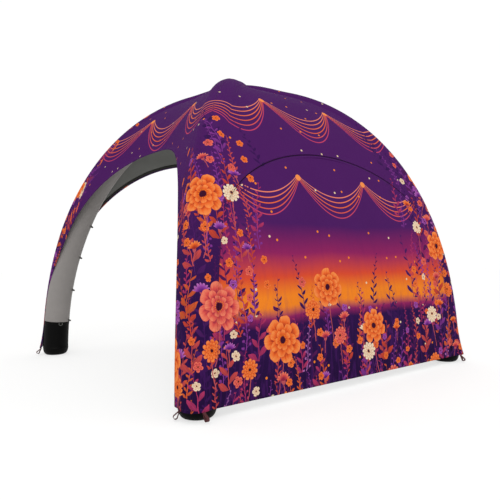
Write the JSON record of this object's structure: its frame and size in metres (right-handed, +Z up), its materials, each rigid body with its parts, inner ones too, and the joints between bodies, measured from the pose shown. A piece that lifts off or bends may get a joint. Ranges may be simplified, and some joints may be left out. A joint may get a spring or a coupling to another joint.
{
  "type": "inflatable event tent",
  "caption": "Inflatable event tent: curved air-tube legs on rounded boots carry a printed canopy with arched openings, and a zipped side wall closes the front.",
  "frame": {"origin": "on the ground below the crown, in the middle of the feet", "axes": "+Z up; -Y out of the walled front face; -X out of the open left face"},
  "size_m": [3.0918, 3.0807, 2.6716],
  "materials": {
    "canopy_print": "printed coated polyester",
    "wall_print": "printed coated polyester",
    "tube_cloth": "plain grey sleeve cloth",
    "boot_cover": "black coated scuff cloth",
    "zip": "dark coil zip on woven tape",
    "rim_tape": "dark woven zip tape",
    "peg_webbing": "brown-red webbing",
    "tab_webbing": "grey webbing",
    "ring_plastic": "pale moulded plastic"
  },
  "bodies": {
    "root": {"tube_front_left": "tube_cloth", "boot_front_left": "boot_cover", "tube_front_right": "tube_cloth", "boot_front_right": "boot_cover", "tube_back_right": "tube_cloth", "boot_back_right": "boot_cover", "tube_back_left": "tube_cloth", "boot_back_left": "boot_cover", "canopy_front": "canopy_print", "canopy_right": "canopy_print", "canopy_back": "canopy_print", "canopy_left": "canopy_print", "wall_front": "wall_print", "zip_front": "zip", "rim_tape_right": "rim_tape", "rim_tape_back": "rim_tape", "rim_tape_left": "rim_tape", "peg_loop_front_left_1": "peg_webbing", "peg_loop_front_left_2": "peg_webbing", "peg_loop_front_right_1": "peg_webbing", "peg_loop_front_right_2": "peg_webbing", "peg_loop_back_right_1": "peg_webbing", "peg_loop_back_right_2": "peg_webbing", "peg_loop_back_left_1": "peg_webbing", "peg_loop_back_left_2": "peg_webbing", "tube_tab_front_left_1": "tab_webbing", "tube_tab_front_left_2": "tab_webbing", "tube_tab_front_left_3": "tab_webbing", "tube_tab_front_left_4": "tab_webbing", "tube_tab_front_right_1": "tab_webbing", "tube_tab_front_right_2": "tab_webbing", "tube_tab_front_right_3": "tab_webbing", "tube_tab_front_right_4": "tab_webbing", "tube_tab_back_right_1": "tab_webbing", "tube_tab_back_right_2": "tab_webbing", "tube_tab_back_right_3": "tab_webbing", "tube_tab_back_right_4": "tab_webbing", "tube_tab_back_left_1": "tab_webbing", "tube_tab_back_left_2": "tab_webbing", "tube_tab_back_left_3": "tab_webbing", "tube_tab_back_left_4": "tab_webbing", "boot_ring_front_left": "ring_plastic", "boot_ring_front_right": "ring_plastic", "boot_ring_back_right": "ring_plastic", "boot_ring_back_left": "ring_plastic"}
  },
  "joints": []
}
